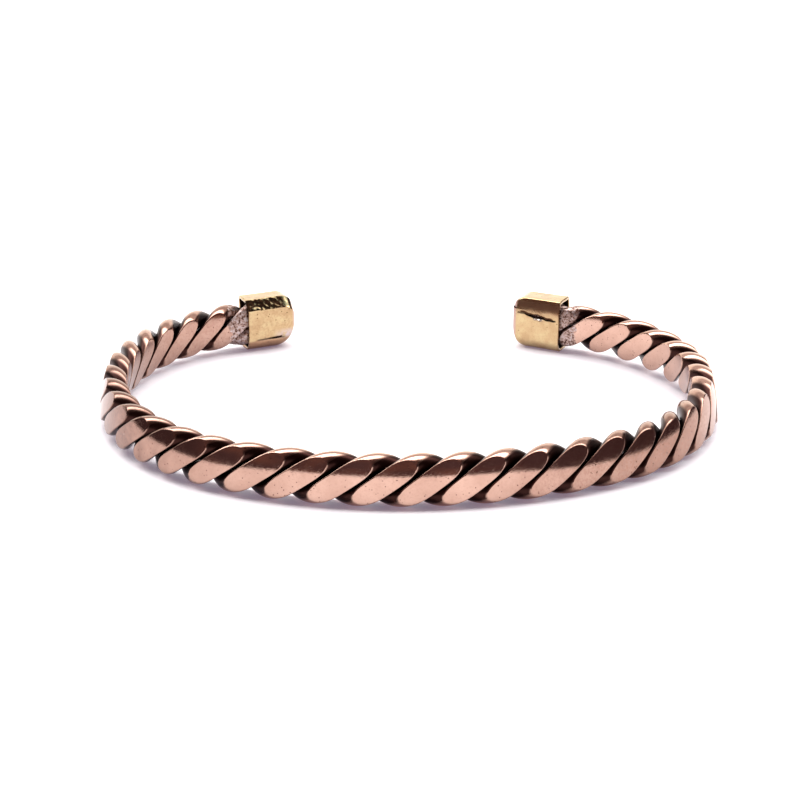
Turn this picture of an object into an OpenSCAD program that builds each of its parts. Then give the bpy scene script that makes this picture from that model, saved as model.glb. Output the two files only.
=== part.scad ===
/*
Twisted wire bangle: an open cuff of three strands laid into a left-handed rope, with its inner
and outer faces flattened, and a sheet-metal cap on each end of the rope.

The frame has its origin on the floor under the middle of the bangle, with X along its width, the
opening between the caps towards +Y and Z up. Distances along the rope are measured on its centre
line from the middle of the front, positive to the right.
*/

/* [Bangle] */
// Width of the bangle over the outer faces of the rope
bangle_w = 66.3; // [58:0.1:75]
// Straight stretch of rope between the last bend and each cap
neck_len = 1.1; // [0.3:0.1:2]

/* [Strands] */
// Size of a strand where it crosses the top of the rope
strand_d = 2.33; // [2.1:0.01:2.6]
// Length along the rope of one full turn of the strands
lay_len = 12.05; // [10.5:0.05:14]
// Turn of the first strand at the middle of the front, in degrees up from the outer face
lay_start = 33; // [0:1:120]
// Gap between one strand and the next
strand_gap = 0.04; // [0.04:0.01:0.2]

/* [Flattened faces] */
// Thickness that the rope would have with its faces left round
round_t = 4.4; // [3.6:0.05:5.2]
// Thickness of the rope between its flattened faces
rope_t = 2.75; // [2.5:0.05:3]
// How far a flattened face falls back at the rope's top and bottom edges
face_crown = 0.3; // [0.02:0.01:0.4]
// Inward lean of the rope's faces at the middle of the front, in degrees, which fades to the caps
face_lean = 8.5; // [0:0.5:12]
// How much more the faces lean round the sides, in degrees
side_lean = 3.5; // [0:0.5:6]

/* [Caps] */
// Length of a cap from its mouth to its closed end
cap_len = 6; // [5:0.1:9]
// Thickness of the caps' sheet
cap_wall = 0.4; // [0.3:0.05:0.6]
// Clearance between the rope's faces and the inside of a cap
cap_clear = 0.05; // [0.04:0.01:0.2]
// Clearance inside a cap above and below the rope
cap_room = 0.15; // [0.05:0.01:0.3]
// Radius of a cap's two long top edges
cap_roof_r = 0.65; // [0.5:0.05:1.2]
// Radius of a cap's two long bottom edges
cap_edge_r = 1.15; // [0.8:0.05:1.25]
// Height of the bevel that is beaten along the left cap's inner top edge
cap_bevel = 0.8; // [0.3:0.05:0.8]
// How far that bevel faces up from the inner face, in degrees
bevel_turn = 42; // [36:1:50]
// Radius of the closed end's top corner, seen from the side
cap_top_r = 1.7; // [1.2:0.1:2.2]
// Radius of the closed end's bottom corner, seen from the side
cap_foot_r = 2.4; // [1.8:0.1:2.8]
// Radius of the closed end's front and back corners, seen from above
cap_nose_r = 0.9; // [0.7:0.1:1.5]
// Distance from the right cap's mouth to the open seam in its inner face
seam_from = 0.3; // [0.2:0.1:1.5]
// Distance from the seam's other end to the closed end
seam_stop = 0.8; // [0.6:0.1:1.5]
// Width of the open seam
seam_w = 0.2; // [0.1:0.05:0.3]
// Height of the open seam's middle above the middle of the inner face
seam_rise = 1.05; // [0:0.05:1.3]
// Slant of the open seam, in degrees down towards the mouth
seam_slant = 7; // [0:1:10]

/* [Hidden] */

COPPER = "#c07a5c";
BRASS = "#c9a456";

// Number of strands in the rope
STRANDS = 3;
// Sides of a strand's section, and its sections along one turn of the rope
SIDES = 14;
RINGS_PER_TURN = 15;
// Radius of a strand's core points as a share of the radius of the strands' centres
CORE_SHARE = 0.7;
// Full circle, and how far a cut runs past the face that it opens
TURN = 360;
OVERCUT = 1;
// Facets of the caps' round edges
$fn = 48;

// The bends of each half, from the middle of the front to the neck. A radius is a share of the
// bend unit, which the width of the bangle sets, and an angle is in degrees. The last column is
// the length of a turn of the strands there as a share of lay_len: they are laid tighter round
// the sides than along the front and the back.
RADIUS = 0;
ANGLE = 1;
LAY = 2;
RIGHT_BENDS = [[0.7, 29.3, 1.025], [0.34, 83.1, 0.94], [0.348, 41.3, 1.03]];
LEFT_BENDS = [[0.64, 23.7, 1.04], [0.38, 86.7, 0.975], [0.293, 44.9, 1.01]];

// Where a half reaches furthest sideways, in bend units: its second bend passes a right angle
function reach(bends) =
    bends[0][RADIUS] * sin(bends[0][ANGLE]) + bends[1][RADIUS] * (1 - sin(bends[0][ANGLE]));

bend_unit = (bangle_w - rope_t) / (reach(RIGHT_BENDS) + reach(LEFT_BENDS));

// Half of a strand's share of the full circle
sector = TURN / STRANDS / 2;

// Round strands laid round one another: the radius at which their centres run
strand_r = strand_d / 2;
slope_at_r = 2 * PI * strand_r / lay_len;
centre_r = 2 * strand_r / sqrt(pow(2 * sin(sector), 2) - pow(slope_at_r, 2));
rope_h = 2 * (centre_r + strand_r);

// Half the size of a strand's section along the rope's circumference, which keeps the strand a
// half gap inside the planes of its share
side_room = centre_r * sin(sector) - strand_gap / 2 * rope_h / round_t;
strand_side = sqrt(pow(side_room, 2) - pow(strand_r * sin(sector), 2)) / cos(sector);

// The caps fit round the rope
cap_h = rope_h + 2 * (cap_wall + cap_room);
cap_t = rope_t + 2 * (cap_wall + cap_clear);
seam_len = cap_len - seam_from - seam_stop;
rope_in_cap = cap_len - max(cap_foot_r, cap_top_r);

// Length of one bend, and of all bends of a half from bend i on
function bend_len(bend) = bend[RADIUS] * bend_unit * bend[ANGLE] * PI / 180;
function bends_len(bends, i = 0) = i < len(bends) ? bend_len(bends[i]) + bends_len(bends, i + 1) : 0;

// Point and heading [x, y, heading] at a distance along a half that runs to the right
function along(bends, s, x = 0, y = 0, h = 0, i = 0) =
    i == len(bends) ? [x + s * cos(h), y + s * sin(h), h] :
    let (r = bends[i][RADIUS] * bend_unit,
         full = bend_len(bends[i]),
         turned = h + min(s / full, 1) * bends[i][ANGLE],
         x1 = x + r * (sin(turned) - sin(h)),
         y1 = y + r * (cos(h) - cos(turned)))
    s <= full ? [x1, y1, turned] : along(bends, s - full, x1, y1, turned, i + 1);

mouth_right = bends_len(RIGHT_BENDS) + neck_len;
mouth_left = bends_len(LEFT_BENDS) + neck_len;
rope_from = -mouth_left - rope_in_cap;
rope_to = mouth_right + rope_in_cap;

// Corner of a cap's closed end on its outer side, before that corner is rounded
function back_of(bends, mouth) =
    let (p = along(bends, mouth + cap_len - cap_nose_r)) p[1] - cos(p[2]) * cap_t / 2;

// Flattened faces: how far from its middle the rope may reach at a height
function face_limit(w) = rope_t / 2 - face_crown * pow(2 * w / rope_h, 2);

// How far the front of the rope reaches out from its middle: its face leans in and is crowned, so
// it reaches furthest below the middle, at the height where its slope makes up for the lean
reach_w = min(rope_h / 2 * sqrt(1 - pow(rope_t / round_t, 2)),
              pow(rope_h / 2, 2) * tan(face_lean) / (2 * face_crown));
front_reach = face_limit(reach_w) * cos(face_lean) + reach_w * sin(face_lean);

// Middle of the bangle, counted from the centre line at the middle of the front
mid_x = bend_unit * (reach(RIGHT_BENDS) - reach(LEFT_BENDS)) / 2;
back_y = max(back_of(RIGHT_BENDS, mouth_right), back_of(LEFT_BENDS, mouth_left));
mid_y = (back_y - front_reach) / 2;

// The bangle lies on its caps and on the front of the rope, so the rope rises from the front,
// where it lies at half its leaning height, to the mouths of the caps
front_z = sqrt(pow(rope_h * cos(face_lean), 2) + pow(round_t * sin(face_lean), 2)) / 2;

// Place on the centre line: the [x, y, z] of the rope's middle, the [x, y] that points outwards and
// the inward lean of its faces
function centre(s) =
    let (bends = s < 0 ? LEFT_BENDS : RIGHT_BENDS,
         side = s < 0 ? -1 : 1,
         p = along(bends, abs(s)),
         mouth = along(bends, s < 0 ? mouth_left : mouth_right),
         back = min(p[1] / mouth[1], 1))
    [[side * p[0] - mid_x, p[1] - mid_y, front_z + (cap_h / 2 - front_z) * back],
     [side * sin(p[2]), -cos(p[2])],
     (face_lean + side_lean * pow(sin(p[2]), 2)) * (1 - back * back)];

// Turns of the strands over a distance along a half
function turns(bends, s, i = 0) =
    i == len(bends) ? s / lay_len :
    let (full = bend_len(bends[i]))
    min(s, full) / (lay_len * bends[i][LAY]) + (s <= full ? 0 : turns(bends, s - full, i + 1));

// Turn of the first strand at a distance along the rope, in degrees
function twist(s) = lay_start + TURN * (s < 0 ? -turns(LEFT_BENDS, -s) : turns(RIGHT_BENDS, s));

// Point at a radius and at a distance sideways in a strand's section, [outwards, up] from the
// rope's middle, before its faces are flattened
function lobe_point(turned, a, b) =
    [(a * cos(turned) - b * sin(turned)) * round_t / rope_h, a * sin(turned) + b * cos(turned)];

// A point past a flattened face goes back to it, straight towards a core point inside the strand
function flattened(p, core) =
    let (limit = face_limit(p[1]))
    abs(p[0]) <= limit ? p : core + (p - core) * (sign(p[0]) * limit - core[0]) / (p[0] - core[0]);

// Point of a strand's section, [outwards, up] from the rope's middle
function section_point(turned, side_angle) =
    flattened(lobe_point(turned, centre_r + strand_r * cos(side_angle), strand_side * sin(side_angle)),
              lobe_point(turned, centre_r * CORE_SHARE, 0));

// One strand: a ring of points at each step along the rope, joined into a closed skin
module strand(number) {
    rings = ceil((rope_to - rope_from) / lay_len * RINGS_PER_TURN);
    points = [
        for (i = [0:rings])
            let (s = rope_from + (rope_to - rope_from) * i / rings,
                 place = centre(s),
                 lean = place[2],
                 turned = twist(s) + number * TURN / STRANDS)
            for (j = [0:SIDES - 1])
                let (p = section_point(turned, j * TURN / SIDES),
                     out = p[0] * cos(lean) - p[1] * sin(lean),
                     up = p[0] * sin(lean) + p[1] * cos(lean))
                [place[0][0] + place[1][0] * out, place[0][1] + place[1][1] * out, place[0][2] + up]
    ];
    skin = [
        for (i = [0:rings - 1])
            for (j = [0:SIDES - 1])
                let (near = i * SIDES, far = near + SIDES, k = (j + 1) % SIDES)
                each [[near + j, near + k, far + k], [near + j, far + k, far + j]]
    ];
    first_end = [for (j = [SIDES - 1:-1:0]) j];
    last_end = [for (j = [0:SIDES - 1]) rings * SIDES + j];
    color(COPPER) polyhedron(points = points, faces = concat(skin, [first_end, last_end]), convexity = 10);
}

// Flat shape from x = 0 to a length, centred on y = 0, with its far corners rounded: the one at
// low y and the one at high y
module round_ended(length, width, low_r, high_r) {
    translate([0, -width / 2]) square([length - low_r, width / 2]);
    square([length - high_r, width / 2]);
    translate([0, low_r - width / 2]) square([length, width - low_r - high_r]);
    translate([length - low_r, low_r - width / 2]) circle(low_r);
    translate([length - high_r, width / 2 - high_r]) circle(high_r);
}

// Flat rectangle about the origin with its two low corners and its two high corners rounded
module rounded(width, height, low_r, high_r) {
    translate([-width / 2, low_r - height / 2]) square([width, height - low_r - high_r]);
    translate([low_r - width / 2, -height / 2]) square([width - 2 * low_r, height / 2]);
    translate([high_r - width / 2, 0]) square([width - 2 * high_r, height / 2]);
    for (side = [-1, 1]) {
        translate([side * (width / 2 - low_r), low_r - height / 2]) circle(low_r);
        translate([side * (width / 2 - high_r), height / 2 - high_r]) circle(high_r);
    }
}

// Section of a cap about its axis, with its inner face at high x and every face moved in by inset
module cap_section(inset, bevel) {
    difference() {
        rounded(cap_t - 2 * inset, cap_h - 2 * inset, cap_edge_r - inset, cap_roof_r - inset);
        if (bevel > 0) translate([cap_t / 2, cap_h / 2 - bevel]) rotate(bevel_turn)
            translate([-inset, -cap_h]) square([cap_h, 2 * cap_h]);
    }
}

// Body of a cap about its axis, from the mouth at x = 0, with every face moved in by inset
module cap_form(inset, bevel) {
    length = cap_len - inset;
    width = cap_t - 2 * inset;
    height = cap_h - 2 * inset;
    intersection() {
        rotate([90, 0, 90]) linear_extrude(length) cap_section(inset, bevel);
        rotate([90, 0, 0]) translate([0, 0, -width / 2]) linear_extrude(width)
            round_ended(length, height, cap_foot_r - inset, cap_top_r - inset);
        translate([0, 0, -height / 2]) linear_extrude(height)
            round_ended(length, width, cap_nose_r - inset, cap_nose_r - inset);
    }
}

// Cap of folded sheet with its mouth at the origin and its inner face towards +Y
module cap(bevel, open_seam) {
    color(BRASS) difference() {
        cap_form(0, bevel);
        cap_form(cap_wall, bevel);
        // The mouth
        rotate([90, 0, 90]) translate([0, 0, -OVERCUT]) linear_extrude(OVERCUT + cap_wall)
            cap_section(cap_wall, bevel);
        // The seam that stands open
        if (open_seam) translate([seam_from + seam_len / 2, cap_t / 2, seam_rise])
            rotate([0, -seam_slant, 0]) cube([seam_len, 3 * cap_wall, seam_w], center = true);
    }
}

// Sets a cap on the end of a half that runs to the right, with its lower face on the floor
module at_mouth(bends, mouth) {
    p = along(bends, mouth);
    translate([p[0], p[1] - mid_y, cap_h / 2]) rotate([0, 0, p[2]]) children();
}

module strand_1() { strand(0); }
module strand_2() { strand(1); }
module strand_3() { strand(2); }
module cap_left() {
    translate([-mid_x, 0, 0]) mirror([1, 0, 0]) at_mouth(LEFT_BENDS, mouth_left) cap(cap_bevel, false);
}
module cap_right() {
    translate([-mid_x, 0, 0]) at_mouth(RIGHT_BENDS, mouth_right) cap(0, true);
}

strand_1();
strand_2();
strand_3();
cap_left();
cap_right();
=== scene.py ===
import math
from collections import namedtuple

import bpy
import numpy as np
from mathutils import Matrix, Vector, noise


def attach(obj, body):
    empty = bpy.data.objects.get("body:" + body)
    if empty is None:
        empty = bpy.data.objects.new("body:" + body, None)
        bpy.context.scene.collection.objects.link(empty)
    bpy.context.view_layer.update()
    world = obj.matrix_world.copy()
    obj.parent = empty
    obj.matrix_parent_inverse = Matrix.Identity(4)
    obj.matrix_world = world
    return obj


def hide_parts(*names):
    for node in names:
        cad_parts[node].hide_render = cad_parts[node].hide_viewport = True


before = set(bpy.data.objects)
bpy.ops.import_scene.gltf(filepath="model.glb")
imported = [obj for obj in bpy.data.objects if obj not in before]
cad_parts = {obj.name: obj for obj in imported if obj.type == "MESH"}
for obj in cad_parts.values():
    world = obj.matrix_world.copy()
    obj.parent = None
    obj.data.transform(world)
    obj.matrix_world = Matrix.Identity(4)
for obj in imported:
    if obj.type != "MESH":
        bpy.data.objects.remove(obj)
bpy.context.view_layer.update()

# Lengths below are in millimetres, in the part's frame: X to the right, Y to the back, Z up
MM = 0.001

# The rope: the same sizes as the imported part
BANGLE_W = 66.3
NECK_LEN = 1.1
STRANDS = 3
STRAND_D = 2.33
LAY_LEN = 12.05
LAY_START = math.radians(33)
STRAND_GAP = 0.04
ROUND_T = 4.4
ROPE_T = 2.75
FACE_CROWN = 0.3
FACE_LEAN = math.radians(8.5)
SIDE_LEAN = math.radians(3.5)

# The bends of each half: radius as a share of the bend unit, angle in degrees, lay as a share
RIGHT_BENDS = [(0.7, 29.3, 1.025), (0.34, 83.1, 0.94), (0.348, 41.3, 1.03)]
LEFT_BENDS = [(0.64, 23.7, 1.04), (0.38, 86.7, 0.975), (0.293, 44.9, 1.01)]

# The caps
CAP_LEN = 6
CAP_WALL = 0.4
CAP_CLEAR = 0.05
CAP_ROOM = 0.15
CAP_EDGE_R = 1.15
CAP_ROOF_R = 0.65
CAP_BEVEL = 0.8
BEVEL_TURN = math.radians(42)
CAP_TOP_R = 1.7
CAP_FOOT_R = 2.4
CAP_NOSE_R = 0.9
SEAM_FROM = 0.3
SEAM_STOP = 0.8
SEAM_W = 0.2
SEAM_RISE = 1.05
SEAM_SLANT = math.radians(7)
SEAM_WANDER = 0.05
SEAM_GAPE = 0.06
SEAM_LEAST = 0.02
# Where along the seam its lower lip is bright with solder, half the length of the bead there, how far
# its middle lies below the lip, and where the solder's band below the lip begins and ends
SOLDER_X = 2.5
SOLDER_REACH = 0.9
BEAD_DROP = 0.17
SOLDER_TOP, SOLDER_FOOT = (-0.02, 0.02), (0.25, 0.18)
# How far from the lips the painted shade lies, and how wide the seam has to gape for it
SHADE_W = 0.05
SHADE_GAPE = 0.03
# Points of a cap further in than this are on its inner face
INNER_FACE_Y = 1
# How far the sheet is out of true: slack faces, a wavy mouth, crinkles on the left cap's bevel and a
# crease low on it, lips that stand up along the right cap's seam and the bead of solder below them
SLACK = 0.035
SLACK_STRETCH = (0.5, 1, 0.6)
FINE_SLACK = 0.008
MOUTH_WAVE = 0.06
CRINKLE = 0.04
CREASE_DEPTH = 0.1
CREASE_Z = -1.75
LIP_RISE = 0.07
BEAD_RISE = 0.2

# Radius of a strand's core points as a share of the radius of the strands' centres
CORE_SHARE = 0.7
# How finely the strands are modelled
STRAND_SIDES = 80
STRAND_RINGS = 1200
SEARCH_SIDES = 720
# The creases round the flattened faces: how close their points lie and how far they are blunted
CREASE_STEP = 0.06
CREASE_BLUNT = 0.02
# How far the hammered faces are uneven, over short and long stretches
DIMPLES = 0.004
WAVES = 0.015
# Round the sides the rope is thinner towards its top: by how much, and over which stretches along
# it this comes in and goes out again
FACE_TILT = math.tan(math.radians(3.2))
TILT_IN = (8, 20)
TILT_OUT = (46, 38)
# How far off the points lie that the slopes of the faces are taken from
SLOPE_STEP = 0.02
# The crust of solder on the strands beside each cap: how far it reaches, how proud it stands and how
# large its lumps are
CRUST_LEFT = 3.4
CRUST_RIGHT = 3.2
CRUST_RISE = 0.07
LUMP_SIZES = (0.45, 0.2)
# The painted shade of the grooves between the strands: how far behind the faces and how far inside the round
# rope it begins and is full
GROOVE_BEHIND = (0.01, 0.1)
GROOVE_INSIDE = (0.1, 0.4)

# The strands' brown tarnish, from none to full, at places along the rope
TARNISH = ((-58, 0.5), (-48, 0.5), (-40, 1.2), (-33, 1.5), (-26, 1.0), (-18, 0.45), (-8, 0.1), (6, 0),
           (14, 0.35), (22, 0.75), (29, 1.05), (36, 0.5), (42, 0), (58, 0))
# The satin grain of the strands that are less worn, likewise
SATIN = ((-50, 0.7), (-40, 0.6), (-30, 0.5), (-18, 0.15), (-8, 0), (8, 0), (16, 0.6), (24, 1), (33, 1),
         (40, 0.2), (46, 0))

# The camera, fitted to the photograph's outlines: its target, distance, turns and lens
CAMERA_TARGET = (-0.8782, -1.9781, 2.349)
CAMERA_DISTANCE = 178.82
CAMERA_YAW = -0.0045
CAMERA_PITCH = 0.3702
FOCAL_PIXELS = 1671.78
IMAGE_PIXELS = 800
SENSOR_W = 36


# Derived sizes of the rope

def reach(bends):
    """Where a half reaches furthest sideways, in bend units."""
    first = math.sin(math.radians(bends[0][1]))
    return bends[0][0] * first + bends[1][0] * (1 - first)


BEND_UNIT = (BANGLE_W - ROPE_T) / (reach(RIGHT_BENDS) + reach(LEFT_BENDS))
STRAND_R = STRAND_D / 2
SLOPE = 2 * math.pi * STRAND_R / LAY_LEN
CENTRE_R = 2 * STRAND_R / math.sqrt(3 - SLOPE ** 2)
ROPE_H = 2 * (CENTRE_R + STRAND_R)
SECTOR = math.pi / STRANDS
SIDE_ROOM = CENTRE_R * math.sin(SECTOR) - STRAND_GAP / 2 * ROPE_H / ROUND_T
SQUASH = ROUND_T / ROPE_H
STRAND_SIDE = math.sqrt(SIDE_ROOM ** 2 - (STRAND_R * math.sin(SECTOR)) ** 2) / math.cos(SECTOR)
CAP_H = ROPE_H + 2 * (CAP_WALL + CAP_ROOM)
CAP_T = ROPE_T + 2 * (CAP_WALL + CAP_CLEAR)
ROPE_IN_CAP = CAP_LEN - max(CAP_FOOT_R, CAP_TOP_R)


def bend_len(bend):
    """Length of a bend along the middle of the rope."""
    return bend[0] * BEND_UNIT * math.radians(bend[1])


MOUTH_RIGHT = sum(bend_len(b) for b in RIGHT_BENDS) + NECK_LEN
MOUTH_LEFT = sum(bend_len(b) for b in LEFT_BENDS) + NECK_LEN
ROPE_FROM = -MOUTH_LEFT - ROPE_IN_CAP
ROPE_TO = MOUTH_RIGHT + ROPE_IN_CAP


def along(bends, s):
    """Points and headings at distances s along a half that runs to the right."""
    x, y, heading, rest = np.zeros_like(s), np.zeros_like(s), np.zeros_like(s), s.copy()
    for bend in bends:
        radius = bend[0] * BEND_UNIT
        turned = heading + np.clip(rest / bend_len(bend), 0, 1) * math.radians(bend[1])
        x += radius * (np.sin(turned) - np.sin(heading))
        y += radius * (np.cos(heading) - np.cos(turned))
        heading = turned
        rest = rest - bend_len(bend)
    rest = np.maximum(rest, 0)
    return x + rest * np.cos(heading), y + rest * np.sin(heading), heading


def turns(bends, s):
    """Turns of the strands over distances s along a half."""
    total, rest = np.zeros_like(s), s.copy()
    for bend in bends:
        total += np.clip(rest, 0, bend_len(bend)) / (LAY_LEN * bend[2])
        rest = rest - bend_len(bend)
    return total + np.maximum(rest, 0) / LAY_LEN


def back_of(bends, mouth):
    """How far back a half's cap reaches."""
    _, y, heading = along(bends, np.array([mouth + CAP_LEN - CAP_NOSE_R]))
    return y[0] - math.cos(heading[0]) * CAP_T / 2


def face_limit(w):
    """Flattened faces: how far from its middle the rope may reach at a height."""
    return ROPE_T / 2 - FACE_CROWN * (2 * w / ROPE_H) ** 2


REACH_W = min(ROPE_H / 2 * math.sqrt(1 - (ROPE_T / ROUND_T) ** 2),
              (ROPE_H / 2) ** 2 * math.tan(FACE_LEAN) / (2 * FACE_CROWN))
FRONT_REACH = face_limit(REACH_W) * math.cos(FACE_LEAN) + REACH_W * math.sin(FACE_LEAN)
MID_X = BEND_UNIT * (reach(RIGHT_BENDS) - reach(LEFT_BENDS)) / 2
MID_Y = (max(back_of(RIGHT_BENDS, MOUTH_RIGHT), back_of(LEFT_BENDS, MOUTH_LEFT)) - FRONT_REACH) / 2
FRONT_Z = math.hypot(ROPE_H * math.cos(FACE_LEAN), ROUND_T * math.sin(FACE_LEAN)) / 2


def centre_line(s):
    """Middle of the rope, outward direction and lean of its faces at distances s."""
    place, outward, lean = np.zeros((len(s), 3)), np.zeros((len(s), 3)), np.zeros(len(s))
    for bends, mouth, side, here in (
            (RIGHT_BENDS, MOUTH_RIGHT, 1, s >= 0), (LEFT_BENDS, MOUTH_LEFT, -1, s < 0)):
        x, y, heading = along(bends, np.abs(s[here]))
        mouth_y = along(bends, np.array([mouth]))[1][0]
        back = np.minimum(y / mouth_y, 1)
        height = FRONT_Z + (CAP_H / 2 - FRONT_Z) * back
        place[here] = np.stack([side * x - MID_X, y - MID_Y, height], 1)
        outward[here] = np.stack([side * np.sin(heading), -np.cos(heading), 0 * heading], 1)
        lean[here] = (FACE_LEAN + SIDE_LEAN * np.sin(heading) ** 2) * (1 - back ** 2)
    return place, outward, lean


def twist(s):
    """Angle of the first strand round the rope's middle at distances s."""
    return LAY_START + 2 * math.pi * np.where(
        s < 0, -turns(LEFT_BENDS, np.maximum(-s, 0)), turns(RIGHT_BENDS, np.maximum(s, 0)))


def ripple(a, b, seed):
    """Smooth unevenness about zero over two coordinates: a sum of a few waves at fixed angles."""
    total = 0
    for k in range(1, 6):
        angle = seed * 1.7 + k * 2.4
        total = total + np.sin((a * math.cos(angle) + b * math.sin(angle)) * (0.6 + 0.37 * k) + seed * k) / k
    return total / 2.3


def bumps(points, size, seed):
    """Unevenness between about -1 and 1 at each point, with blotches of about the given size."""
    return np.array([noise.noise(Vector(p) / size + Vector((seed, -seed, seed / 2))) for p in points])


def fade(value, start, end):
    """Goes smoothly from 0 at start to 1 at end."""
    share = np.clip((value - start) / (end - start), 0, 1)
    return share * share * (3 - 2 * share)


# Meshes

def mesh_object(name, points, faces, attributes):
    """An object from points in millimetres, faces and a value for each point of each attribute."""
    mesh = bpy.data.meshes.new(name)
    mesh.from_pydata((points * MM).tolist(), [], faces)
    for label, values in attributes.items():
        kind = "FLOAT_VECTOR" if values.ndim == 2 else "FLOAT"
        data = mesh.attributes.new(label, kind, "POINT").data
        data.foreach_set("vector" if values.ndim == 2 else "value", values.astype(np.float32).ravel())
    mesh.validate()
    mesh.shade_smooth()
    piece = bpy.data.objects.new(name, mesh)
    bpy.context.scene.collection.objects.link(piece)
    return piece


def grid_faces(columns, rows):
    """Quads of a tube: rings of points one after another, each joined to the next."""
    i, j = np.meshgrid(np.arange(columns - 1), np.arange(rows), indexing="ij")
    near, far, k = i * rows, (i + 1) * rows, (j + 1) % rows
    return np.stack([near + j, near + k, far + k, far + j], -1)


def hammered(s, w, seed):
    """The flattened faces as they are: not quite even, and thinner towards the top round the sides."""
    uneven = DIMPLES * ripple(s * 0.9, w * 1.1, seed) + WAVES * ripple(s * 0.25, w * 0.2, seed + 4)
    tilt = FACE_TILT * fade(np.abs(s), *TILT_IN) * fade(np.abs(s), *TILT_OUT)
    return face_limit(w) + uneven - tilt * w


def lobe(turned, angle):
    """Points of a strand's section before its faces are flattened, and their slopes with the angle."""
    a, b = CENTRE_R + STRAND_R * np.cos(angle), STRAND_SIDE * np.sin(angle)
    da, db = -STRAND_R * np.sin(angle), STRAND_SIDE * np.cos(angle)
    cos, sin = np.cos(turned), np.sin(turned)
    u, w = (a * cos - b * sin) * SQUASH, a * sin + b * cos
    return u, w, (da * cos - db * sin) * SQUASH, da * sin + db * cos


def section_angles(s, turned, seed):
    """Angles of a strand's points in each section, with three close together at each crease."""
    dense = np.arange(SEARCH_SIDES) * 2 * math.pi / SEARCH_SIDES
    u, w, _, _ = lobe(turned, dense)
    past = np.abs(u) - hammered(s, w, seed)
    step = 2 * math.pi / STRAND_SIDES
    angle = np.broadcast_to(np.arange(STRAND_SIDES) * step, (len(s), STRAND_SIDES)).copy()
    crease = np.zeros((len(s), STRAND_SIDES), bool)
    index = np.full((len(s), 2), -1)
    after = np.roll(past, -1, 1)
    for ring in np.nonzero((past > 0).any(1))[0]:
        cuts = np.nonzero((past[ring] > 0) != (after[ring] > 0))[0]
        before, beyond = past[ring, cuts], after[ring, cuts]
        cuts = dense[cuts] + before / (before - beyond) * dense[1]
        near = np.round(cuts / step).astype(int) % STRAND_SIDES
        # Where a face has only begun, its creases are too close together for points of their own
        apart = abs(int(near[0]) - int(near[1]))
        if min(apart, STRAND_SIDES - apart) < 3:
            continue
        # The crease where the strand comes out of the face goes first
        index[ring] = near if before[0] > 0 else near[::-1]
        for middle, cut in zip(near, cuts):
            for k in (-1, 0, 1):
                angle[ring, (middle + k) % STRAND_SIDES] = cut + k * CREASE_STEP
            crease[ring, middle] = True
    return angle, crease, index


def strand_faces(index):
    """Triangles between the rings, whose diagonals follow the creases."""
    i, j = np.meshgrid(np.arange(STRAND_RINGS - 1), np.arange(STRAND_SIDES), indexing="ij")
    back = np.zeros(i.shape, bool)
    for near in index.T:
        here, there = near[:-1, None], near[1:, None]
        moved = (there - here + STRAND_SIDES // 2) % STRAND_SIDES - STRAND_SIDES // 2
        beside = np.abs((j - here + STRAND_SIDES // 2) % STRAND_SIDES - STRAND_SIDES // 2) < 4
        back |= beside & (here >= 0) & (there >= 0) & (moved < 0)
    k = (j + 1) % STRAND_SIDES
    near_j, near_k = i * STRAND_SIDES + j, i * STRAND_SIDES + k
    far_j, far_k = near_j + STRAND_SIDES, near_k + STRAND_SIDES
    back = back[..., None]
    first = np.where(back, np.stack([far_j, near_k, near_j], -1), np.stack([far_k, near_k, near_j], -1))
    second = np.where(back, np.stack([far_k, near_k, far_j], -1), np.stack([far_j, far_k, near_j], -1))
    return np.concatenate([first.reshape(-1, 3), second.reshape(-1, 3)]).tolist()


def flattened(s, round_u, round_w, core_u, core_w, crease, seed):
    """Takes points past a flattened face back to it, straight towards a core point in the strand."""
    flat = (np.abs(round_u) - hammered(s, round_w, seed) > 0) & ~crease
    u, w = round_u, round_w
    for _ in range(3):
        limit = np.sign(round_u) * hammered(s, w, seed)
        share = np.where(flat, (limit - core_u) / np.where(flat, round_u - core_u, 1), 1)
        u, w = core_u + (round_u - core_u) * share, core_w + (round_w - core_w) * share
    blunt = np.where(crease, CREASE_BLUNT / np.hypot(u - core_u, w - core_w), 0)
    return u + (core_u - u) * blunt, w + (core_w - w) * blunt, flat


def unit(vectors):
    return vectors / np.linalg.norm(vectors, axis=-1)[..., None]


def crusted(s, points, normals):
    """Raises the crust beside the caps in place, and says how thick it lies at each point."""
    crust = np.maximum(fade(s, -MOUTH_LEFT + CRUST_LEFT, -MOUTH_LEFT + CRUST_LEFT / 3),
                       fade(s, MOUTH_RIGHT - CRUST_RIGHT, MOUTH_RIGHT - CRUST_RIGHT / 3))
    crust = np.repeat(crust, STRAND_SIDES)
    rough = np.nonzero(crust > 0)[0]
    lumps = bumps(points[rough], LUMP_SIZES[0], 3) + 0.6 * bumps(points[rough], LUMP_SIZES[1], 8)
    points[rough] += normals[rough] * (CRUST_RISE * crust[rough] * (lumps - 0.4))[:, None]
    return crust


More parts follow.
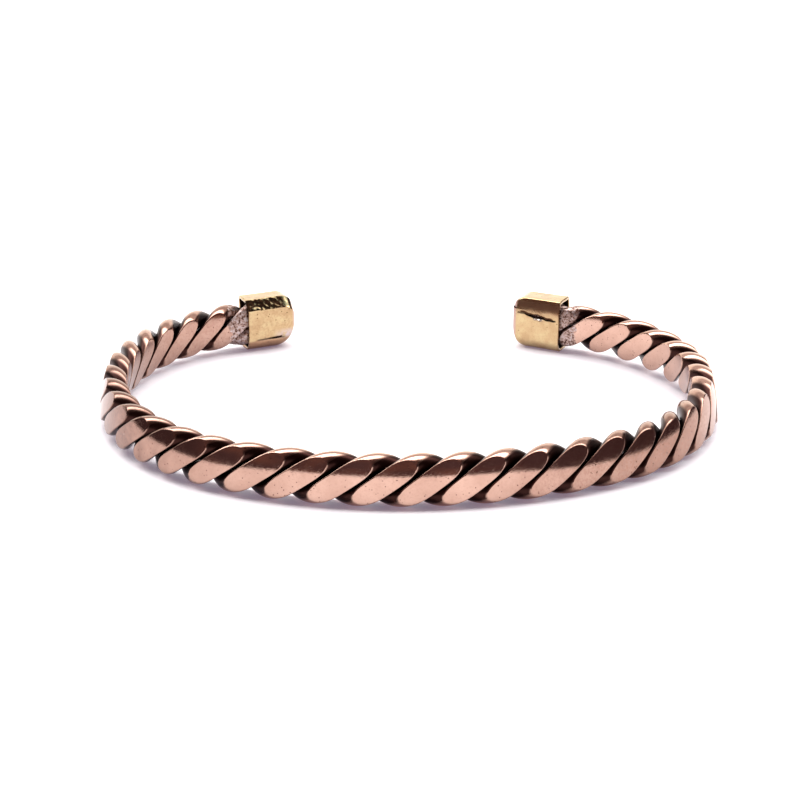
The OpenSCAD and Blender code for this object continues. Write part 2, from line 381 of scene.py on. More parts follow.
def strand(number):
    """A strand as a piece, with the attributes that its material reads."""
    seed = number + 1
    s = np.linspace(ROPE_FROM, ROPE_TO, STRAND_RINGS)
    along_rope, turned = s[:, None], (twist(s) + number * 2 * math.pi / STRANDS)[:, None]
    angle, crease, index = section_angles(along_rope, turned, seed)
    round_u, round_w, du, dw = lobe(turned, angle)
    core_u = CORE_SHARE * CENTRE_R * np.cos(turned) * SQUASH
    core_w = CORE_SHARE * CENTRE_R * np.sin(turned)
    u, w, flat = flattened(along_rope, round_u, round_w, core_u, core_w, crease, seed)

    # Directions: along the rope, out of its leaning faces and up along them
    place, outward, lean = centre_line(s)
    forward = np.stack([-outward[:, 1], outward[:, 0], 0 * s], 1)[:, None, :]
    up = np.array([0, 0, 1.0])
    out = outward[:, None, :]
    cos, sin = np.cos(lean)[:, None, None], np.sin(lean)[:, None, None]
    face_out, face_up = out * cos + up * sin, up * cos - out * sin

    def in_rope(a, b):
        return face_out * a[..., None] + face_up * b[..., None]

    # Normals: of the flat faces, of the round strand, and halfway at the creases
    limit = hammered(along_rope, w, seed)
    slope_s = (hammered(along_rope + SLOPE_STEP, w, seed) - limit) / SLOPE_STEP
    slope_w = (hammered(along_rope, w + SLOPE_STEP, seed) - limit) / SLOPE_STEP
    face_normal = unit(in_rope(np.sign(round_u), -slope_w) - forward * slope_s[..., None])
    rate = np.gradient(turned[:, 0], s)[:, None]
    bend = np.gradient(np.unwrap(np.arctan2(outward[:, 1], outward[:, 0])), s)[:, None]
    along_strand = forward * (1 + bend * u)[..., None]
    along_strand = along_strand + in_rope(-round_w * SQUASH * rate, round_u / SQUASH * rate)
    round_normal = np.cross(in_rope(du, dw), along_strand)
    middle = in_rope(round_u - core_u, round_w - core_w)
    round_normal = unit(round_normal * np.sign((round_normal * middle).sum(-1))[..., None])
    normals = np.where(flat[..., None], face_normal, round_normal)
    normals = np.where(crease[..., None], face_normal + round_normal, normals)
    normals = unit(normals.reshape(-1, 3))
    points = (place[:, None, :] + in_rope(u, w)).reshape(-1, 3)
    crust = crusted(s, points, normals)

    # The grooves, where shade is painted in, lie well behind the faces and well inside the round outline of
    # the rope
    inside = ROPE_H / 2 - np.hypot(round_u / SQUASH, round_w)
    groove_shade = np.where(flat, 0, fade(limit - np.abs(u), *GROOVE_BEHIND) * fade(inside, *GROOVE_INSIDE))
    attributes = {"groove_shade": groove_shade.ravel(), "crust": crust}
    for label, stations in (("tarnish", TARNISH), ("satin", SATIN)):
        attributes[label] = np.repeat(np.interp(s, *zip(*stations)), STRAND_SIDES)
    first, last = range(STRAND_SIDES), range((STRAND_RINGS - 1) * STRAND_SIDES, STRAND_RINGS * STRAND_SIDES)
    faces = strand_faces(index) + [list(first), list(last)[::-1]]
    piece = mesh_object(f"strand_{number + 1}_wire", points, faces, attributes)
    piece.data.normals_split_custom_set_from_vertices(normals)
    return piece


def cap_columns(inset):
    """Places along a cap from its mouth, close together where the closed end is round."""
    start = CAP_LEN - CAP_FOOT_R
    straight = np.linspace(0, start, STRAIGHT_COLUMNS)[:-1]
    bent = start + (CAP_FOOT_R - inset) * np.sin(np.linspace(0, math.pi / 2, BENT_COLUMNS))
    return np.concatenate([straight, bent])


def seam_lips(x):
    """Height of the middle of the open seam, which wanders a little, and half its uneven width."""
    length = CAP_LEN - SEAM_FROM - SEAM_STOP
    share = np.clip((x - SEAM_FROM) / length, 0, 1)
    middle = SEAM_RISE + (x - SEAM_FROM - length / 2) * math.tan(SEAM_SLANT)
    middle = middle + SEAM_WANDER * (np.sin(x * 3.1 + 0.4) + np.sin(x * 7.7) / 2)
    half = SEAM_W / 2 * (1.05 + 0.35 * np.sin(x * 2.3 + 1.0)) * np.sin(math.pi * share) ** 0.3
    half = half + SEAM_GAPE * np.exp(-((x - SOLDER_X) / 0.6) ** 2)
    return middle, np.maximum(half, SEAM_LEAST)


# Rows round a cap's section: along its five sides and at each corner. On the inner face they crowd
# beside the seam: the rows where that begins, where the lips are and where it ends, and how high it is
SIDE_ROWS = (48, 14, 14, 40, 14)
CORNER_ROWS = 12
LIP_ROWS = (18, 28, 31, 40)
LIP_H = 0.4
# How much of a side the rounding of a corner may take up
CORNER_SHARE = 0.49
# Columns along a cap: of its straight part and of its round closed end
STRAIGHT_COLUMNS = 34
BENT_COLUMNS = 40
# Steps of the rolled rim at a cap's mouth and of its closed end, and what counts as a sharp edge
RIM_STEPS = 6
END_STEPS = 8
SHARP_ANGLE = math.radians(50)
# The form of a cap: the height of its brow, where its inner face turns back towards its top, how far
# the brow turns, the radii of the corners below and above it, the radius of the low edges and that
# of the closed end's foot
Form = namedtuple("Form", "brow_h turn under_r over_r edge_r foot_r")
LEFT_FORM = Form(1.15, BEVEL_TURN, 0.12, 0.14, 1.45, 2.6)
LEFT_INSIDE = Form(CAP_BEVEL, BEVEL_TURN, 0.1, 0.1, CAP_EDGE_R, CAP_FOOT_R)
RIGHT_FORM = Form(1.35, math.radians(17), 3.2, 0.3, CAP_EDGE_R, 1.9)


def cap_ring(x, inset, seamed, form):
    """Section of a cap at a place along it: up the inner face, over the top and down the back."""
    turn, edge_r = form.turn, form.edge_r - inset
    foot, top, nose = form.foot_r - inset, CAP_TOP_R - inset, CAP_NOSE_R - inset
    end = CAP_LEN - inset

    def drop(radius):
        past = min(max(x - (end - radius), 0), radius)
        return radius - math.sqrt(radius ** 2 - past ** 2)

    low = -(CAP_H / 2 - inset) + drop(foot)
    high = CAP_H / 2 - inset - drop(top)
    side = CAP_T / 2 - inset - drop(nose)
    # The brow's plane moves in with the inset and with the closed end's rounding
    brow_y, brow_z = CAP_T / 2 - drop(nose), CAP_H / 2 - form.brow_h - drop(top)
    knee_z = brow_z - (inset + math.cos(turn) * (side - brow_y)) / math.sin(turn)
    ridge_y = brow_y - (inset + math.sin(turn) * (high - brow_z)) / math.cos(turn)
    corners = np.array([(side, low), (side, knee_z), (ridge_y, high), (-side, high), (-side, low)])
    radii = (edge_r, form.under_r, form.over_r, CAP_ROOF_R - inset, edge_r)
    sides = np.roll(corners, -1, 0) - corners
    lengths = np.hypot(*sides.T)
    heading = np.arctan2(sides[:, 1], sides[:, 0])
    bends = (heading - np.roll(heading, 1)) % (2 * math.pi)
    cuts = [min(r * math.tan(bend / 2), CORNER_SHARE * before, CORNER_SHARE * after)
            for r, bend, before, after in zip(radii, bends, np.roll(lengths, 1), lengths)]
    points = []
    for k in range(5):
        ahead, before = sides[k] / lengths[k], np.roll(sides, 1, 0)[k] / np.roll(lengths, 1)[k]
        start, finish = corners[k] - before * cuts[k], corners[k] + ahead * cuts[k]
        radius = cuts[k] / math.tan(bends[k] / 2)
        centre = start + radius * np.array([-before[1], before[0]])
        angle = math.atan2(*(start - centre)[::-1]) + np.linspace(0, bends[k], CORNER_ROWS, endpoint=False)
        points.append(centre + radius * np.stack([np.cos(angle), np.sin(angle)], 1))
        last = corners[(k + 1) % 5] - ahead * cuts[(k + 1) % 5]
        share = np.linspace(0, 1, SIDE_ROWS[k], endpoint=False)
        if seamed and k == 0:
            middle, half = seam_lips(np.array(x))
            lips = [(middle + way * reach - finish[1]) / (last[1] - finish[1])
                    for way, reach in ((-1, half + LIP_H), (-1, half), (1, half), (1, half + LIP_H))]
            share = np.interp(np.arange(SIDE_ROWS[0]), (0, *LIP_ROWS, SIDE_ROWS[0]), (0, *lips, 1))
        points.append(finish + (last - finish) * share[:, None])
    ring = np.concatenate(points)
    return np.column_stack([np.full(len(ring), x), ring])


def cap_rings(seamed, forms):
    """Rings of a cap: from its inner end's middle along the inner skin, round the rim and back along
    the outer skin. Also the middles of both ends and the numbers of the skins' rings at the mouth."""
    outer = [cap_ring(x, 0, seamed, forms[0]) for x in cap_columns(0)]
    inner = [cap_ring(x, CAP_WALL, seamed, forms[1]) for x in cap_columns(CAP_WALL)]
    middles = [inner[-1].mean(0), outer[-1].mean(0)]
    inner_end, outer_end = (
        [middle + (skin[-1] - middle) * (1 - step / END_STEPS) for step in range(1, END_STEPS)]
        for skin, middle in zip((inner, outer), middles))
    rim = []
    for step in range(1, RIM_STEPS):
        turn = math.pi * step / RIM_STEPS
        share = (1 - math.cos(turn)) / 2
        ring = outer[0] * (1 - share) + inner[0] * share
        ring[:, 0] -= CAP_WALL / 4 * math.sin(turn)
        rim.append(ring)
    mouth_in = len(inner_end) + len(inner) - 1
    rings = inner_end[::-1] + inner[::-1] + rim[::-1] + outer + outer_end
    return np.array(rings), middles, mouth_in, mouth_in + len(rim) + 1


def open_seam(keep, mouth_in, mouth_out):
    """Takes the seam's faces out of both skins and gives the walls between them."""
    rows = keep.shape[1]
    places = cap_columns(0)
    columns = [i for i in range(len(places) - 1)
               if SEAM_FROM <= places[i] and places[i + 1] <= CAP_LEN - SEAM_STOP]
    low, high = (CORNER_ROWS + row for row in LIP_ROWS[1:3])
    walls = []
    for i in columns:
        keep[mouth_out + i, low:high] = False
        keep[mouth_in - i - 1, low:high] = False
        o0, n0 = (mouth_out + i) * rows, (mouth_in - i) * rows
        o1, n1 = o0 + rows, n0 - rows
        walls.append([o0 + low, o1 + low, n1 + low, n0 + low])
        walls.append([o1 + high, o0 + high, n0 + high, n1 + high])
    for i, flip in ((columns[0], False), (columns[-1] + 1, True)):
        o, n = (mouth_out + i) * rows, (mouth_in - i) * rows
        for j in range(low, high):
            wall = [o + j, n + j, n + j + 1, o + j + 1]
            walls.append(wall[::-1] if flip else wall)
    return walls


def seam_marks(base, outside):
    """Painted shade along the seam's lips, and solder on a stretch of the lower one."""
    x, y, z = base.T
    middle, half = seam_lips(x)
    cap_shade = np.exp(-((np.abs(z - middle) - half) / SHADE_W) ** 2) * (half > SHADE_GAPE) * (y > INNER_FACE_Y)
    below = middle - half - z
    solder = fade(below, *SOLDER_TOP) * fade(below, *SOLDER_FOOT) * outside * (y > INNER_FACE_Y)
    return cap_shade, solder * fade(np.abs(x - SOLDER_X), SOLDER_REACH - 0.2, 0.2)


def cap(name, bends, mouth, side, seamed, forms, shape):
    """A cap of sheet metal: an outer skin, a rolled rim at the mouth and an inner skin."""
    rings, middles, mouth_in, mouth_out = cap_rings(seamed, forms)
    columns, rows = rings.shape[:2]
    keep = np.ones((columns - 1, rows), bool)
    walls = open_seam(keep, mouth_in, mouth_out) if seamed else []
    last = (columns - 1) * rows
    tips = [[(j + 1) % rows, j, columns * rows] for j in range(rows)]
    tips += [[last + j, last + (j + 1) % rows, columns * rows + 1] for j in range(rows)]
    faces = grid_faces(columns, rows)[keep].tolist() + walls + tips
    if side < 0:
        faces = [face[::-1] for face in faces]
    base = np.concatenate([*rings, middles])
    outside = np.zeros(len(base))
    outside[(mouth_in + 1) * rows:] = 1
    outside[columns * rows] = 0
    local = base + shape(base) * outside[:, None]
    x, y, heading = (value[0] for value in along(bends, np.array([mouth])))
    cos, sin = math.cos(heading), math.sin(heading)
    points = np.stack([
        side * (x + local[:, 0] * cos - local[:, 1] * sin) - MID_X,
        y - MID_Y + local[:, 0] * sin + local[:, 1] * cos,
        CAP_H / 2 + local[:, 2]], 1)
    # The inside is painted dark as shade too
    cap_shade, solder = seam_marks(base, outside) if seamed else (0 * outside, 0 * outside)
    attributes = {"cap": base, "cap_shade": np.maximum(1 - outside, cap_shade), "solder": solder}
    piece = mesh_object(name, points, faces, attributes)
    piece.data.set_sharp_from_angle(angle=SHARP_ANGLE)
    return piece


def pushed_out(points, rise, seed):
    """Moves that push a cap's sheet out from its middle by a rise, and make its mouth wavy."""
    x, y, z = points.T
    out = np.stack([0 * y, y / (CAP_T / 2), z / (CAP_H / 2)], 1)
    wavy = MOUTH_WAVE * bumps(points, 1.1, seed) * fade(x, 0.6, 0)
    return out * rise[:, None] + np.stack([wavy, 0 * y, 0 * z], 1)


def left_shape(points):
    """The left cap's dents: a crinkled inner top edge, a slack face and a creased lower edge."""
    x, y, z = points.T
    brow_y, brow_z = CAP_T / 2, CAP_H / 2 - LEFT_FORM.brow_h
    from_brow = (y - brow_y) * math.cos(BEVEL_TURN) + (z - brow_z) * math.sin(BEVEL_TURN)
    on_brow = fade(from_brow, -0.25, -0.05) * fade(x, 4.6, 3.8) * fade(x, 0.1, 0.5)
    crinkle = CRINKLE * on_brow * (bumps(points, 0.42, 1) + 0.6 * bumps(points, 0.2, 2))
    slack = SLACK * bumps(points * SLACK_STRETCH, 1.6, 4)
    from_crease = z - CREASE_Z - 0.06 * (x - 2.5)
    crease = CREASE_DEPTH * np.exp(-(from_crease / 0.1) ** 2) * (y > INNER_FACE_Y)
    crease = crease * fade(x, 0.6, 1.1) * fade(x, 4.6, 4.1)
    return pushed_out(points, crinkle + slack - crease, 6)


def right_shape(points):
    """The right cap's dents: lips that stand up along the seam, a bead of solder and a slack face."""
    x, y, z = points.T
    middle, half = seam_lips(x)
    lips = LIP_RISE * np.exp(-((z - middle) / 0.22) ** 2) * (y > INNER_FACE_Y)
    lips = lips * fade(x, 0.2, 1.0) * fade(x, 5.2, 4.4)
    from_bead = middle - half - z - BEAD_DROP
    bead = fade(np.abs(x - SOLDER_X), SOLDER_REACH, 0.1) * (0.8 + 0.3 * np.sin(x * 9))
    bead = BEAD_RISE * bead * np.exp(-(from_bead / 0.1) ** 2) * (y > INNER_FACE_Y)
    slack = SLACK * bumps(points * SLACK_STRETCH, 1.7, 9) + FINE_SLACK * bumps(points, 0.7, 12)
    return pushed_out(points, slack + lips + bead, 15)


# Materials

# Colours of the copper: dull and bright metal, its brown tarnish, grain and pits, the painted shade in its
# grooves, and the crust beside the caps from its crumbs to its pale parts
COPPER_DULL, COPPER_BRIGHT = (0.47, 0.29, 0.225), (0.55, 0.355, 0.28)
COPPER_BROWN = (0.21, 0.125, 0.1)
COPPER_GRAIN = (0.32, 0.175, 0.13)
COPPER_PIT = (0.1, 0.04, 0.03)
GROOVE_SHADE = (0.03, 0.012, 0.01)
CRUST = ((0.06, 0.03, 0.025), (0.34, 0.22, 0.18), (0.46, 0.33, 0.29), (0.56, 0.5, 0.5))
# Colours of the brass: dark, middle and pale metal, its brown grain and pits, the painted shade inside the
# caps and along the seam, and solder
BRASS = ((0.42, 0.285, 0.155), (0.47, 0.335, 0.185), (0.5, 0.385, 0.215))
BRASS_BROWN = (0.3, 0.185, 0.085)
BRASS_PIT = (0.12, 0.07, 0.03)
CAP_SHADE = (0.03, 0.018, 0.014)
SOLDER = (0.62, 0.58, 0.54)
# Colours of the left cap: a painted dark reflection on its bevel, stains in spots and silvery and low, a
# painted pale reflection round its closed end, and painted shade at its foot and in the fold above that
BEVEL_PAINTED_DARK = (0.085, 0.078, 0.045)
SPOT_STAIN = (0.32, 0.2, 0.11)
SILVER_STAIN = (0.5, 0.41, 0.41)
LEFT_RIM_PAINTED_REFLECTION = (0.5, 0.36, 0.33)
FOOT_PAINTED_SHADE = (0.34, 0.19, 0.125)
FOLD_PAINTED_SHADE = (0.06, 0.04, 0.035)
# Colours of the right cap: brown below its top edge, a painted pale reflection round its closed end and a
# painted dark reflection on it
HIGH_BROWN = (0.24, 0.125, 0.08)
RIGHT_RIM_PAINTED_REFLECTION = (0.42, 0.27, 0.25)
END_PAINTED_DARK = (0.04, 0.02, 0.015)
# Roughness, from polished to grainy and of each layer
COPPER_ROUGH, BRASS_ROUGH = (0.03, 0.12), (0.06, 0.17)
DULL_ROUGH, SATIN_ROUGH, GROOVE_ROUGH, CRUST_ROUGH = 0.2, 0.25, 0.3, 0.45
SHADE_ROUGH, SOLDER_ROUGH, HIGH_ROUGH = 0.5, 0.2, 0.34
# The stretch in a cap's own frame, in millimetres, over which its masks are drawn
MASK_FROM, MASK_TO = -6.0, 6.0


def grey(value):
    return (value, value, value)


class Graph:
    """The node tree of a material or a world. Each method adds nodes and returns their output."""

    def __init__(self, owner):
        owner.use_nodes = True
        self.nodes, self.links = owner.node_tree.nodes, owner.node_tree.links

    def feed(self, socket, value):
        """Gives a socket a link from another socket or a plain value."""
        if isinstance(value, bpy.types.NodeSocket):
            self.links.new(value, socket)
        else:
            socket.default_value = value

    def coordinates(self, kind):
        return self.nodes.new("ShaderNodeTexCoord").outputs[kind]

    def attribute(self, label, output="Fac"):
        node = self.nodes.new("ShaderNodeAttribute")
        node.attribute_name = label
        return node.outputs[output]

    def split(self, vector):
        node = self.nodes.new("ShaderNodeSeparateXYZ")
        self.links.new(vector, node.inputs[0])
        return node.outputs

    def ramp(self, value, *stops):
        """Colours or greys at places from 0 to 1."""
        node = self.nodes.new("ShaderNodeValToRGB")
        elements = node.color_ramp.elements
        while len(elements) < len(stops):
            elements.new(0.5)
        for element, (position, colour) in zip(elements, stops):
            element.position = position
            element.color = (*(colour if isinstance(colour, tuple) else grey(colour)), 1)
        self.links.new(value, node.inputs["Fac"])
        return node.outputs["Color"]

    def mix(self, share, a, b):
        """Colours or greys a and b in shares."""
        node = self.nodes.new("ShaderNodeMix")
        node.data_type = "RGBA"
        self.feed(node.inputs[0], share)
        for socket, value in ((node.inputs[6], a), (node.inputs[7], b)):
            if isinstance(value, float):
                value = grey(value)
            self.feed(socket, (*value, 1) if isinstance(value, tuple) else value)
        return node.outputs[2]

    def math(self, operation, *values):
        node = self.nodes.new("ShaderNodeMath")
        node.operation = operation
        for socket, value in zip(node.inputs, values):
            self.feed(socket, value)
        return node.outputs[0]

    def multiply(self, *values):
        total = values[0]
        for value in values[1:]:
            total = self.math("MULTIPLY", total, value)
        return total

    def cloud(self, place, size, detail=4, roughness=0.55, distortion=0):
        """Noise whose blotches are about size millimetres wide."""
        node = self.nodes.new("ShaderNodeTexNoise")
        node.inputs["Scale"].default_value = 1 / (size * MM)
        node.inputs["Detail"].default_value = detail
        node.inputs["Roughness"].default_value = roughness
        node.inputs["Distortion"].default_value = distortion
        self.links.new(place, node.inputs["Vector"])
        return node.outputs["Fac"]

    def spots(self, place, size, share, seed=0.0):
        """Small round spots, 1 inside and 0 outside, in cells of about size millimetres."""
        moved = self.nodes.new("ShaderNodeVectorMath")
        moved.inputs[1].default_value = (seed, seed * 2, -seed)
        self.links.new(place, moved.inputs[0])
        node = self.nodes.new("ShaderNodeTexVoronoi")
        node.inputs["Scale"].default_value = 1 / (size * MM)
        node.inputs["Randomness"].default_value = 1
        self.links.new(moved.outputs[0], node.inputs["Vector"])
        return self.ramp(node.outputs["Distance"], (share * 0.6, 1), (share, 0))

    def bump(self, height, distance, strength, normal=None):
        """Relief with heights of about distance millimetres."""
        node = self.nodes.new("ShaderNodeBump")
        node.inputs["Strength"].default_value = strength
        node.inputs["Distance"].default_value = distance * MM
        self.links.new(height, node.inputs["Height"])
        if normal is not None:
            self.links.new(normal, node.inputs["Normal"])
        return node.outputs["Normal"]

    def local_mask(self, axis, *stops):
        """A mask along one axis of a cap's own frame, in millimetres from its mouth or its middle."""
        share = self.nodes.new("ShaderNodeMapRange")
        share.inputs["From Min"].default_value = MASK_FROM
        share.inputs["From Max"].default_value = MASK_TO
        self.links.new(self.split(self.attribute("cap", "Vector"))[axis], share.inputs["Value"])
        return self.ramp(share.outputs[0], *(
            ((place - MASK_FROM) / (MASK_TO - MASK_FROM), value) for place, value in stops))


def new_material(name):
    """A material, its graph and its shader's inputs."""
    material = bpy.data.materials.new(name)
    graph = Graph(material)
    return material, graph, graph.nodes["Principled BSDF"].inputs


def copper_material():
    """Polished copper with a brown tarnish, grooves painted near black as shade, pits and a grey crust
    beside the caps.
    """
    material, graph, shader = new_material("worn copper")
    place = graph.coordinates("Object")
    shader["Metallic"].default_value = 1
    grain = graph.cloud(place, 0.22, 4, 0.7)
    satin = graph.attribute("satin")
    groove_shade = graph.attribute("groove_shade")
    # The crust's attribute, broken up at its edge
    patches = graph.math("MULTIPLY", graph.cloud(place, 1.1, 3), 1.6)
    crust = graph.math("MULTIPLY", graph.math("ADD", graph.attribute("crust"), patches), 0.5)
    crust = graph.ramp(crust, (0.6, 0), (0.7, 1))
    # Pits lie in groups
    pits = graph.math("MAXIMUM", graph.spots(place, 0.45, 0.15), graph.spots(place, 0.7, 0.12, 5.0))
    pits = graph.multiply(pits, graph.ramp(graph.cloud(place, 0.9, 2), (0.42, 0), (0.5, 1)))

    tone = graph.ramp(graph.cloud(place, 3.0, 3), (0.35, COPPER_DULL), (0.65, COPPER_BRIGHT))
    uneven = graph.math("ADD", graph.cloud(place, 1.4, 4, 0.6), 0.2)
    tone = graph.mix(graph.multiply(graph.attribute("tarnish"), uneven), tone, COPPER_BROWN)
    specks = graph.ramp(graph.cloud(place, 0.24, 3, 0.75), (0.47, 0), (0.56, 1))
    dusky = graph.mix(graph.multiply(satin, 0.8), graph.ramp(grain, (0.5, 0), (0.72, 0.3)), specks)
    tone = graph.mix(dusky, tone, COPPER_GRAIN)
    tone = graph.mix(pits, tone, COPPER_PIT)
    # Painted shade: the grooves between the strands are darkened nearly to black
    tone = graph.mix(groove_shade, tone, GROOVE_SHADE)
    ash = graph.ramp(graph.cloud(place, 0.3, 4, 0.7), *zip((0.41, 0.46, 0.53, 0.6), CRUST))
    tone = graph.mix(crust, tone, ash)
    graph.links.new(tone, shader["Base Color"])

    rough = graph.ramp(grain, *zip((0.35, 0.7), COPPER_ROUGH))
    dull = graph.ramp(graph.cloud(place, 0.5, 4, 0.7, 0.8), (0.48, 0), (0.62, 0.35))
    rough = graph.mix(dull, rough, DULL_ROUGH)
    rough = graph.mix(graph.multiply(satin, 0.15), rough, SATIN_ROUGH)
    rough = graph.mix(groove_shade, rough, GROOVE_ROUGH)
    rough = graph.mix(crust, rough, CRUST_ROUGH)
    graph.links.new(rough, shader["Roughness"])

    relief = graph.bump(graph.math("SUBTRACT", grain, pits), 0.006, 0.5)
    speckle = graph.multiply(graph.cloud(place, 0.16, 3, 0.75), satin)
    relief = graph.bump(speckle, 0.003, 0.6, relief)
    lumps = graph.multiply(graph.cloud(place, 0.18, 3, 0.6), crust)
    graph.links.new(graph.bump(lumps, 0.05, 0.8, relief), shader["Normal"])
    return material


def brass_material(name, stains_and_light):
    """Polished brass sheet with grain, pits, the cap's own staining and painted light, painted shade inside
    the cap and along any seam, and solder.
    """
    material, graph, shader = new_material(name)
    place = graph.coordinates("Object")
    shader["Metallic"].default_value = 1
    grain = graph.cloud(place, 0.2, 4, 0.65)
    pits = graph.spots(place, 0.7, 0.13, 3.0)
    tone = graph.ramp(graph.cloud(place, 1.3, 3), *zip((0.36, 0.5, 0.66), BRASS))
    tone = graph.mix(graph.ramp(grain, (0.5, 0), (0.72, 0.35)), tone, BRASS_BROWN)
    tone = graph.mix(pits, tone, BRASS_PIT)
    rough = graph.ramp(grain, *zip((0.35, 0.7), BRASS_ROUGH))
    tone, rough = stains_and_light(graph, place, tone, rough)
    # Painted shade inside the cap and along the seam's lips, and the solder's own colour
    for label, colour, roughness in (("cap_shade", CAP_SHADE, SHADE_ROUGH), ("solder", SOLDER, SOLDER_ROUGH)):
        share = graph.attribute(label)
        tone, rough = graph.mix(share, tone, colour), graph.mix(share, rough, roughness)
    graph.links.new(tone, shader["Base Color"])
    graph.links.new(rough, shader["Roughness"])
    graph.links.new(graph.bump(graph.math("SUBTRACT", grain, pits), 0.01, 0.6), shader["Normal"])
    return material


def left_stains_and_painted_light(graph, place, tone, rough):
    """A painted dark reflection on the bevel, brown mottling, a silvery stain low on the closed end's side,
    a painted pale reflection round the closed end, and painted shade at the foot and in the fold above it.
    """
    # Painted dark reflection on the bevel, broken up in spots so some gold still shows
    brow = graph.local_mask("Z", (1.98, 0), (2.04, 1))
    front = graph.local_mask("Y", (0.75, 0), (0.85, 1))
    spotty = graph.ramp(graph.cloud(place, 0.35, 3, 0.6), (0.36, 0.55), (0.5, 1))
    tone = graph.mix(graph.multiply(brow, front, spotty), tone, BEVEL_PAINTED_DARK)
    mottled = graph.ramp(graph.cloud(place, 0.45, 4, 0.65, 1.0), (0.5, 0), (0.62, 0.5))
    tone = graph.mix(mottled, tone, SPOT_STAIN)
    low = graph.local_mask("Z", (-2.1, 0), (-1.6, 1), (-1.2, 1), (-0.6, 0))
    end = graph.local_mask("X", (3.0, 0), (4.8, 1))
    cloudy = graph.ramp(graph.cloud(place, 0.8, 3), (0.35, 0.2), (0.5, 1))
    tone = graph.mix(graph.multiply(low, end, cloudy), tone, SILVER_STAIN)
    # Painted pale pink reflection round the closed end
    rim = graph.local_mask("X", (5.45, 0), (5.7, 1))
    tone = graph.mix(graph.multiply(rim, 0.8), tone, LEFT_RIM_PAINTED_REFLECTION)
    # Painted shade: the foot is darkened to a coppery brown, as where it reflects the shadowed floor
    foot = graph.local_mask("Z", (-1.95, 1), (-1.75, 0))
    tone = graph.mix(graph.multiply(foot, 0.8), tone, FOOT_PAINTED_SHADE)
    # Painted shade in the fold above the foot
    fold = graph.local_mask("Z", (-1.9, 0), (-1.8, 1), (-1.72, 1), (-1.62, 0))
    along_fold = graph.local_mask("X", (0.8, 0), (1.2, 1), (4.2, 1), (4.6, 0))
    tone = graph.mix(graph.multiply(fold, along_fold, 0.85), tone, FOLD_PAINTED_SHADE)
    return tone, rough


def right_browning_and_painted_light(graph, place, tone, rough):
    """A brown band under the top edge, dull there, a painted pale reflection round the closed end and a
    painted dark reflection on it.
    """
    # Browner and duller high on the inner face, under the top edge
    high = graph.local_mask("Z", (1.0, 0), (1.6, 0.5), (2.2, 1), (2.75, 1), (2.95, 0))
    brown = graph.multiply(high, graph.local_mask("Y", (0.6, 0), (1.0, 1)))
    tone = graph.mix(graph.multiply(brown, 0.8), tone, HIGH_BROWN)
    rough = graph.mix(brown, rough, HIGH_ROUGH)
    # Painted pale pink reflection round the closed end
    rim = graph.local_mask("X", (5.3, 0), (5.5, 1))
    tone = graph.mix(graph.multiply(rim, 0.8), tone, RIGHT_RIM_PAINTED_REFLECTION)
    # Painted dark reflection on the closed end
    end = graph.local_mask("X", (5.72, 0), (5.8, 1))
    tone = graph.mix(graph.multiply(end, 0.95), tone, END_PAINTED_DARK)
    return tone, rough


def floor_material():
    """White paper, with a faint violet glow that tints the shadows."""
    material, graph, shader = new_material("white paper")
    place = graph.coordinates("Object")
    graph.links.new(graph.ramp(graph.cloud(place, 6.0, 2), (0.3, 0.87), (0.7, 0.89)), shader["Base Color"])
    shader["Roughness"].default_value = 0.9
    shader["Specular IOR Level"].default_value = 0.1
    shader["Emission Color"].default_value = (0.85, 0.72, 1, 1)
    shader["Emission Strength"].default_value = 0.18
    return material


# Stage: a white floor, a dark room in front, a broad soft light overhead

# Half the floor's width, in metres
FLOOR_HALF = 2.0
LIGHT_STRENGTH = 6.6
# How bright the white is that the camera sees behind everything
WHITE_STRENGTH = 1.2
# Colours of the surroundings, as shares of the strength: the dark room and its fainter and brighter
# patches, the softbox and its dim front edge, the ceiling and the wall behind, and the dark sides
ROOM = (0.019, 0.0115, 0.0125)
ROOM_GLOW = (0.036, 0.019, 0.016)
ROOM_PATCHES = 5
SOFTBOX_EDGE = (0.4, 0.38, 0.36)
SOFTBOX = (1.0, 1.0, 1.0)
CEILING = (0.16, 0.145, 0.14)
BACK = (0.29, 0.28, 0.26)
SIDE = (0.018, 0.011, 0.012)
# Where they lie, from the level in front at 0, over the top at 0.5, to the level behind at 1
ROOM_END = (0.455, 0.47)
OVERHEAD = ((0.455, 0), (0.47, SOFTBOX_EDGE), (0.505, SOFTBOX_EDGE), (0.525, SOFTBOX), (0.64, SOFTBOX),
            (0.68, CEILING), (0.8, CEILING), (0.84, BACK), (1.0, BACK))
# The dark sides, from the far left at 0 to the far right at 1, and how high they reach
LEFT_SIDE, RIGHT_SIDE = (0.04, 0.1), (0.72, 0.8)
SIDE_TOP = (0.35, 0.5)


def add_floor():
    mesh = bpy.data.meshes.new("floor")
    corners = [(x * FLOOR_HALF, y * FLOOR_HALF, 0) for x, y in ((-1, -1), (1, -1), (1, 1), (-1, 1))]
    mesh.from_pydata(corners, [], [(0, 1, 2, 3)])
    floor = bpy.data.objects.new("floor", mesh)
    bpy.context.scene.collection.objects.link(floor)
    mesh.materials.append(floor_material())


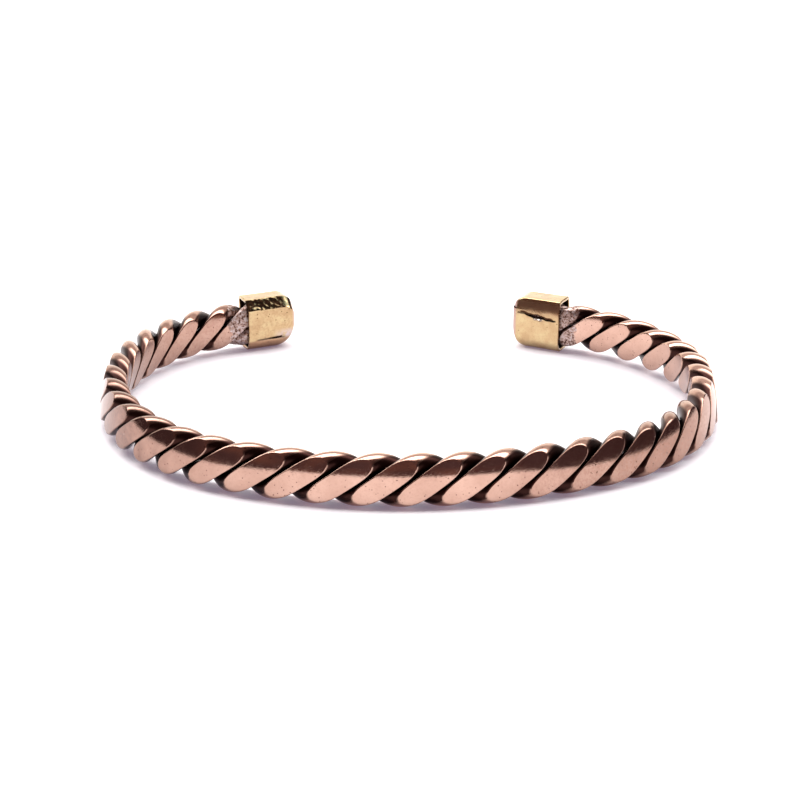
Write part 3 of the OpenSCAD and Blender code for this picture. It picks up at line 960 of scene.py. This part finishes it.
def add_light():
    world = bpy.data.worlds.new("studio")
    bpy.context.scene.world = world
    graph = Graph(world)
    graph.nodes.clear()
    direction = graph.coordinates("Generated")
    x, y, z = graph.split(direction)
    turn = graph.math("DIVIDE", graph.math("ARCTAN2", z, graph.math("MULTIPLY", y, -1.0)), math.pi)
    patchy = graph.nodes.new("ShaderNodeTexNoise")
    patchy.inputs["Scale"].default_value = ROOM_PATCHES
    graph.links.new(direction, patchy.inputs["Vector"])
    room = graph.ramp(patchy.outputs["Fac"], (0.45, ROOM), (0.62, ROOM_GLOW))
    in_room = graph.ramp(turn, *zip(ROOM_END, (1, 0)))
    sky = graph.mix(in_room, graph.ramp(turn, *OVERHEAD), room)
    across = graph.math("MULTIPLY_ADD", x, 0.5, 0.5)
    beside = graph.ramp(across, *zip(LEFT_SIDE + RIGHT_SIDE, (1, 0, 0, 1)))
    sky = graph.mix(graph.multiply(beside, graph.ramp(z, *zip(SIDE_TOP, (1, 0)))), sky, SIDE)
    # The camera itself sees plain white where the floor ends
    studio, white = (graph.nodes.new("ShaderNodeBackground") for _ in range(2))
    for node, colour, strength in ((studio, sky, LIGHT_STRENGTH), (white, (1, 1, 1, 1), WHITE_STRENGTH)):
        graph.feed(node.inputs["Color"], colour)
        node.inputs["Strength"].default_value = strength
    choose = graph.nodes.new("ShaderNodeMixShader")
    graph.links.new(graph.nodes.new("ShaderNodeLightPath").outputs["Is Camera Ray"], choose.inputs[0])
    graph.links.new(studio.outputs[0], choose.inputs[1])
    graph.links.new(white.outputs[0], choose.inputs[2])
    output = graph.nodes.new("ShaderNodeOutputWorld")
    graph.links.new(choose.outputs[0], output.inputs["Surface"])


def add_camera():
    forward_flat = Vector((math.sin(CAMERA_YAW), math.cos(CAMERA_YAW), 0))
    right = Vector((math.cos(CAMERA_YAW), -math.sin(CAMERA_YAW), 0))
    vertical = Vector((0, 0, 1))
    forward = forward_flat * math.cos(CAMERA_PITCH) - vertical * math.sin(CAMERA_PITCH)
    up = forward_flat * math.sin(CAMERA_PITCH) + vertical * math.cos(CAMERA_PITCH)
    place = (Vector(CAMERA_TARGET) - CAMERA_DISTANCE * forward) * MM
    data = bpy.data.cameras.new("camera")
    data.sensor_fit = "HORIZONTAL"
    data.sensor_width = SENSOR_W
    data.lens = FOCAL_PIXELS * SENSOR_W / IMAGE_PIXELS
    data.clip_start = 0.005
    camera = bpy.data.objects.new("camera", data)
    camera.matrix_world = Matrix((
        (right.x, up.x, -forward.x, place.x),
        (right.y, up.y, -forward.y, place.y),
        (right.z, up.z, -forward.z, place.z),
        (0, 0, 0, 1)))
    bpy.context.scene.collection.objects.link(camera)
    bpy.context.scene.camera = camera


bpy.context.scene.view_settings.view_transform = "Standard"
bpy.context.scene.view_settings.look = "None"
add_camera()
add_floor()
add_light()

copper = copper_material()
for number in range(STRANDS):
    wire = strand(number)
    wire.data.materials.append(copper)
    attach(wire, "root")
    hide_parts(f"strand_{number + 1}")

for name, bends, mouth, side, seamed, forms, shape, stains_and_light in (
        ("left", LEFT_BENDS, MOUTH_LEFT, -1, False, (LEFT_FORM, LEFT_INSIDE), left_shape, left_stains_and_painted_light),
        ("right", RIGHT_BENDS, MOUTH_RIGHT, 1, True, (RIGHT_FORM, RIGHT_FORM), right_shape, right_browning_and_painted_light)):
    piece = cap(f"cap_{name}_sheet", bends, mouth, side, seamed, forms, shape)
    piece.data.materials.append(brass_material(f"{name} cap brass", stains_and_light))
    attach(piece, "root")
    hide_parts(f"cap_{name}")
